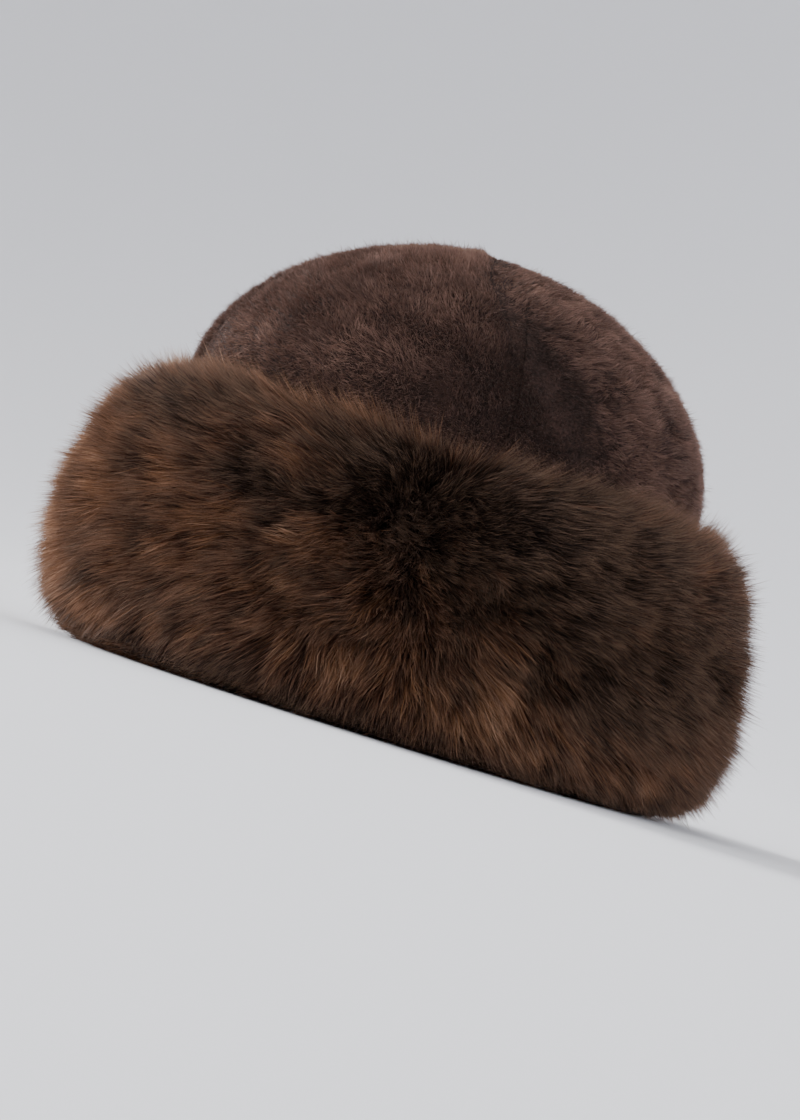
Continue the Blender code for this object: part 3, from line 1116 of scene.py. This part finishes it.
# %% Hairs of the mouth
MOUTH_HAIRS = 16000
MOUTH_ROOTS = Outline((
    (HEAD_RADIUS + 29 * MM, 6.0 * MM),
    (HEAD_RADIUS + 20 * MM, 1.6 * MM),
    (HEAD_RADIUS + 11 * MM, 2.0 * MM),
    (HEAD_RADIUS + 5 * MM, 8.0 * MM),
    (HEAD_RADIUS + 4 * MM, 24.0 * MM),
))
MOUTH_TIPS = Outline((
    (HEAD_RADIUS + 36 * MM, 4.5 * MM),
    (HEAD_RADIUS + 24 * MM, 0.4 * MM),
    (HEAD_RADIUS + 7 * MM, 0.4 * MM),
    (HEAD_RADIUS + 0 * MM, 1.5 * MM),
    (HEAD_RADIUS - 1 * MM, 13.0 * MM),
))
MOUTH_LOCK = 6 * MM
MOUTH_PULL = np.array((0.5, 0.5, 0.15))
MOUTH_BEND = 0.7 * MM
MOUTH_LENGTHS = (0.7, 1.05)
MOUTH_WIDTHS = (0.8, 1.5)
MOUTH_TONE = 0.42
MOUTH_NOISES = ((0.1, 12 * MM, 61),)
MOUTH_LOCK_TONE = 0.09


def dress_mouth():
    """Short hairs under the cuff and round the opening."""
    chance = np.random.default_rng(200)
    azimuth = chance.random(MOUTH_HAIRS) * TURN
    share = MOUTH_ROOTS.shares_by_area(chance, MOUTH_HAIRS)
    root = spin(azimuth, *MOUTH_ROOTS.at(share))
    tip = spin(azimuth, *MOUTH_TIPS.at(share))
    lock, lock_way = find_locks(tip, MOUTH_LOCK, 15)
    tip += lock_way * MOUTH_PULL + chance.normal(size=(MOUTH_HAIRS, 3)) * MM
    tip = root + (tip - root) * chance.uniform(*MOUTH_LENGTHS, MOUTH_HAIRS)[:, None]
    middle = (root + tip) / 2 + chance.normal(size=(MOUTH_HAIRS, 3)) * MOUTH_BEND
    joints = np.stack((root, middle, tip), axis=1)
    joints[:, :, 2] = np.maximum(joints[:, :, 2], FLOOR_CLEARANCE)
    widths = HAIR_WIDTH * chance.uniform(*MOUTH_WIDTHS, MOUTH_HAIRS)[:, None] * BENT_TAPER
    tones = spotted(azimuth, share, tip, MOUTH_TONE, MOUTH_NOISES, ())
    tones += MOUTH_LOCK_TONE * lock_traits(lock, 1, 16)[:, 0]
    item = ribbon_mesh("cuff_hair_mouth", joints, widths, np.clip(tones, 0, 1), chance, long_fur)
    dress(item, "fur_cuff")


dress_mouth()
print("mouth hairs:", MOUTH_HAIRS)

# %% [markdown]
# ## The sheared pile
# The crown's fur is cut short and even, like velvet, so its hairs are short and straight
# and one triangle does for each. What makes it look sewn is the direction: the pile lies
# another way on each gore, it lies low along each seam, and on the right front gore it
# is combed to the right, as the photo shows. The left gores' pile also stands higher at
# the top, which gives the outline its small step there. The seams bend a little, as
# pulled fur does, so the pile is twisted by a few degrees between foot and top.

# %% Roots of the pile
TWIST_FOOT = math.radians(15)
TWIST_TOP = math.radians(-21)
TWIST_REACH = math.radians(60)
SEAM_WAVER = math.radians(0.8)
WAVER_SIZE = 12 * MM


def bent_azimuth(azimuth, radius, height):
    """The turn of a point of the pile after the seams are bent, most near the front seam."""
    twist = np.interp(height, (CUFF_TOP, CROWN_TOP), (TWIST_FOOT, TWIST_TOP))
    twist *= bump(turn_between(azimuth, math.degrees(FRONT_SEAM)), 0, TWIST_REACH)
    ring = np.stack((radius, height, radius), axis=-1)
    return azimuth + twist + SEAM_WAVER * drift(ring, WAVER_SIZE, 78)


# %% Length of the pile
CUT_WAVE = 0.35 * MM
CUT_WAVE_SIZE = 8 * MM
CUT_UNEVEN = 0.32 * MM
STRAY_SHARE = 0.12
STRAY_LENGTH = 1 * MM
STRAY_MOST = 3
TOP_STEP = 2.6 * MM
TOP_REACH = 30 * MM
STEP_WAY = (-6.5 * MM, -4.5 * MM)


def pile_lengths(across, radius, root, chance):
    """Length of each hair: low along the seams and behind the step, with a few strays."""
    count = len(across)
    length = PILE_LENGTH - seam_low(across) + CUT_WAVE * drift(root, CUT_WAVE_SIZE, 75)
    beyond_step = np.interp(root[:, 0], STEP_WAY, (0, 1))
    length -= TOP_STEP * beyond_step * np.exp(-((radius / TOP_REACH) ** 2))
    length += CUT_UNEVEN * chance.normal(size=count)
    stray = chance.random(count) < STRAY_SHARE
    length += stray * np.minimum(chance.exponential(1.0, count), STRAY_MOST) * STRAY_LENGTH
    return np.maximum(length, PILE_SHORTEST)


# %% Tone of the crown
# Darker and lighter places on the crown: some are the fur's own tone, and some are
# painted light and shade, such as the painted shadow in the valley right of the front
# seam, the painted shade of the front centre and the painted light on the lower left.
# Columns: degrees round, height over the cuff's top in mm, half widths in radians and
# mm, added tone.
CROWN_TONE_AND_PAINTED_LIGHT = (
    (20, 17, 0.17, 15, -0.50),
    (12, 33, 0.13, 16, -0.46),
    (3, 12, 0.46, 22, -0.26),
    (62, 12, 0.20, 12, -0.12),
    (-25, 56, 0.50, 20, 0.10),
    (50, 26, 0.30, 26, -0.10),
    (-28, 26, 0.24, 12, -0.06),
    (-24, 12, 0.28, 12, 0.32),
    (-55, 8, 0.30, 14, 0.20),
)
CROWN_TONE = 0.44
CROWN_NOISES = ((0.07, 20 * MM, 81), (0.05, 7 * MM, 82))

# Columns: share of the gore's width, width of the dark line there, how dark.
SEAM_SHADES = ((0, 0.05, 0.10), (1, 0.03, 0.04))
print("spots of tone:", len(CUFF_TONE_AND_PAINTED_LIGHT), "on the cuff,", len(CROWN_TONE_AND_PAINTED_LIGHT), "on the crown")

# %% Hairs of the crown
# How the pile lies on each gore. Columns: lean to the right, lean down, change of both,
# how far its tufts are drawn together.
PILE_FLOW = {
    "front_left": (-0.24, 0.10, 0.26, 0.08),
    "front_right": (0.95, 0.12, 0.40, 0.17),
    "back_right": (0.30, 0.25, 0.20, 0.12),
    "back_left": (-0.25, 0.25, 0.20, 0.08),
}
PILE_PER_GORE = 46000
PILE_WIDTH = 0.25 * MM
PILE_LEAN_SIZE = 10 * MM
PILE_NOISE = 0.32
PILE_LOCK = 2.2 * MM
PILE_LOCK_PULL = 0.28
PILE_TUFT = 7.5 * MM
PILE_LOCK_TONE = 0.06
PILE_TUFT_TONE = 0.4
PILE_HAIR_TONE = 0.08


def dress_gore(index, gore):
    """The pile of one gore."""
    chance = np.random.default_rng(300 + index)
    count = PILE_PER_GORE
    dome = Outline(crown_rows(PILE_LENGTH, PILE_FOOT))
    across = chance.random(count)
    share = dome.shares_by_area(chance, count)
    radius, height = dome.at(share)
    azimuth = bent_azimuth(gore_start(index) + across * GORE_ANGLE, radius, height)
    root = spin(azimuth, radius, height) + gore_shift(index)
    normal = -spin(azimuth, *dome.out(share))
    rightward = rightward_at(azimuth)
    downward = np.cross(rightward, normal)

    lean_right, lean_down, change, tuft_pull = PILE_FLOW[gore]
    heading = normal
    for way, lean, seed in ((rightward, lean_right, 71), (downward, lean_down, 73)):
        lean = lean + change * drift(root, PILE_LEAN_SIZE, seed)
        lean += PILE_NOISE * chance.normal(size=count)
        heading = heading + way * lean[:, None]
    heading = unit(heading)
    length = pile_lengths(across, radius, root, chance)
    tip = root + heading * (length / np.sum(heading * normal, axis=1))[:, None]
    lock, lock_way = find_locks(tip, PILE_LOCK, 76)
    tuft, tuft_way = find_locks(tip, PILE_TUFT, 79)
    tip += lock_way * PILE_LOCK_PULL + tuft_way * tuft_pull

    widths = PILE_WIDTH * chance.uniform(*WIDTH_SPREAD, count)[:, None] * STRAIGHT_TAPER
    up = (height - CUFF_TOP) / MM
    tones = spotted(azimuth, up, root, CROWN_TONE, CROWN_NOISES, CROWN_TONE_AND_PAINTED_LIGHT)
    tones += PILE_LOCK_TONE * lock_traits(lock, 1, 77)[:, 0]
    tones += PILE_HAIR_TONE * chance.normal(size=count)
    tones += PILE_TUFT_TONE * tuft_pull * lock_traits(tuft, 1, 80)[:, 0]
    for edge, width, shade in SEAM_SHADES:
        tones -= shade * bump(across, edge, width)
    joints = np.stack((root, tip), axis=1)
    item = ribbon_mesh("gore_pile_" + gore, joints, widths, np.clip(tones, 0, 1), chance, sheared_fur)
    dress(item, "crown_gore_" + gore)


for index, gore in enumerate(GORES):
    dress_gore(index, gore)
print("pile hairs:", PILE_PER_GORE * len(GORES))
print("triangles:", sum(triangle_count.values()), "most in a piece:", max(triangle_count.values()))

# %% [markdown]
# ## Floor and light
# A plain pale floor that curves up into a wall far away has no corner, so the rolled
# camera sees no hard tilted line. The lights are suns with a wide disc: they are as soft
# as big lamps, but light near and far floor alike. Most of the light comes from above
# and behind, as in the photo: it lights the tips along the outline and leaves the front
# deep. The floor casts no shadow, or its far wall would keep the low lights off.

# %% A seamless floor
FLOOR_RADIUS = 4.5
FLOOR_CURVE = 2.2
FLOOR_WALL = 3.0
FLOOR_SIDES = 96
CURVE_STEPS = 16

floor_material = new_material("floor", Base_Color=rgb(222, 223, 228), Roughness=0.85)
floor_rows = [(0.001, 0.0), (FLOOR_RADIUS - FLOOR_CURVE, 0.0)]
for step in range(1, CURVE_STEPS + 1):
    angle = step / CURVE_STEPS * math.pi / 2
    floor_rows.append((FLOOR_RADIUS - FLOOR_CURVE + FLOOR_CURVE * math.sin(angle),
                       FLOOR_CURVE * (1 - math.cos(angle))))
floor_rows.append((FLOOR_RADIUS, FLOOR_WALL))
floor_rows = np.array(floor_rows)
floor_turns = np.linspace(0, TURN, FLOOR_SIDES, endpoint=False)
floor_points = spin(floor_turns[None], floor_rows[:, :1], floor_rows[:, 1:])
floor_faces = grid_faces(len(floor_rows), FLOOR_SIDES, False, True)
floor = object_from("floor", floor_points.reshape(-1, 3), floor_faces, floor_material)
floor.visible_shadow = False


# %% Soft lights
def add_sun(name, place, strength, degrees, colour=(1.0, 1.0, 1.0)):
    """A wide sun that shines from a place towards the hat."""
    data = bpy.data.lights.new(name, "SUN")
    data.energy = strength
    data.angle = math.radians(degrees)
    data.color = colour
    item = bpy.data.objects.new(name, data)
    bpy.context.scene.collection.objects.link(item)
    item.location = place
    item.rotation_mode = "QUATERNION"
    item.rotation_quaternion = Vector(place).to_track_quat("Z", "Y")


WARM_WHITE = (1.0, 0.99, 0.98)
add_sun("top_light", (-0.4, 0.6, 1.7), 1.5, 50, WARM_WHITE)
add_sun("left_light", (-1.5, -0.9, 0.9), 1.0, 45, WARM_WHITE)
add_sun("left_rim", (-1.6, 0.7, 0.5), 7.6, 30)
add_sun("right_rim", (1.5, 0.9, 0.8), 0.6, 35)

world = bpy.data.worlds.new("studio")
bpy.context.scene.world = world
world.use_nodes = True
sky = world.node_tree.nodes["Background"]
sky.inputs["Color"].default_value = (1.0, 0.98, 0.96, 1)
sky.inputs["Strength"].default_value = 0.35
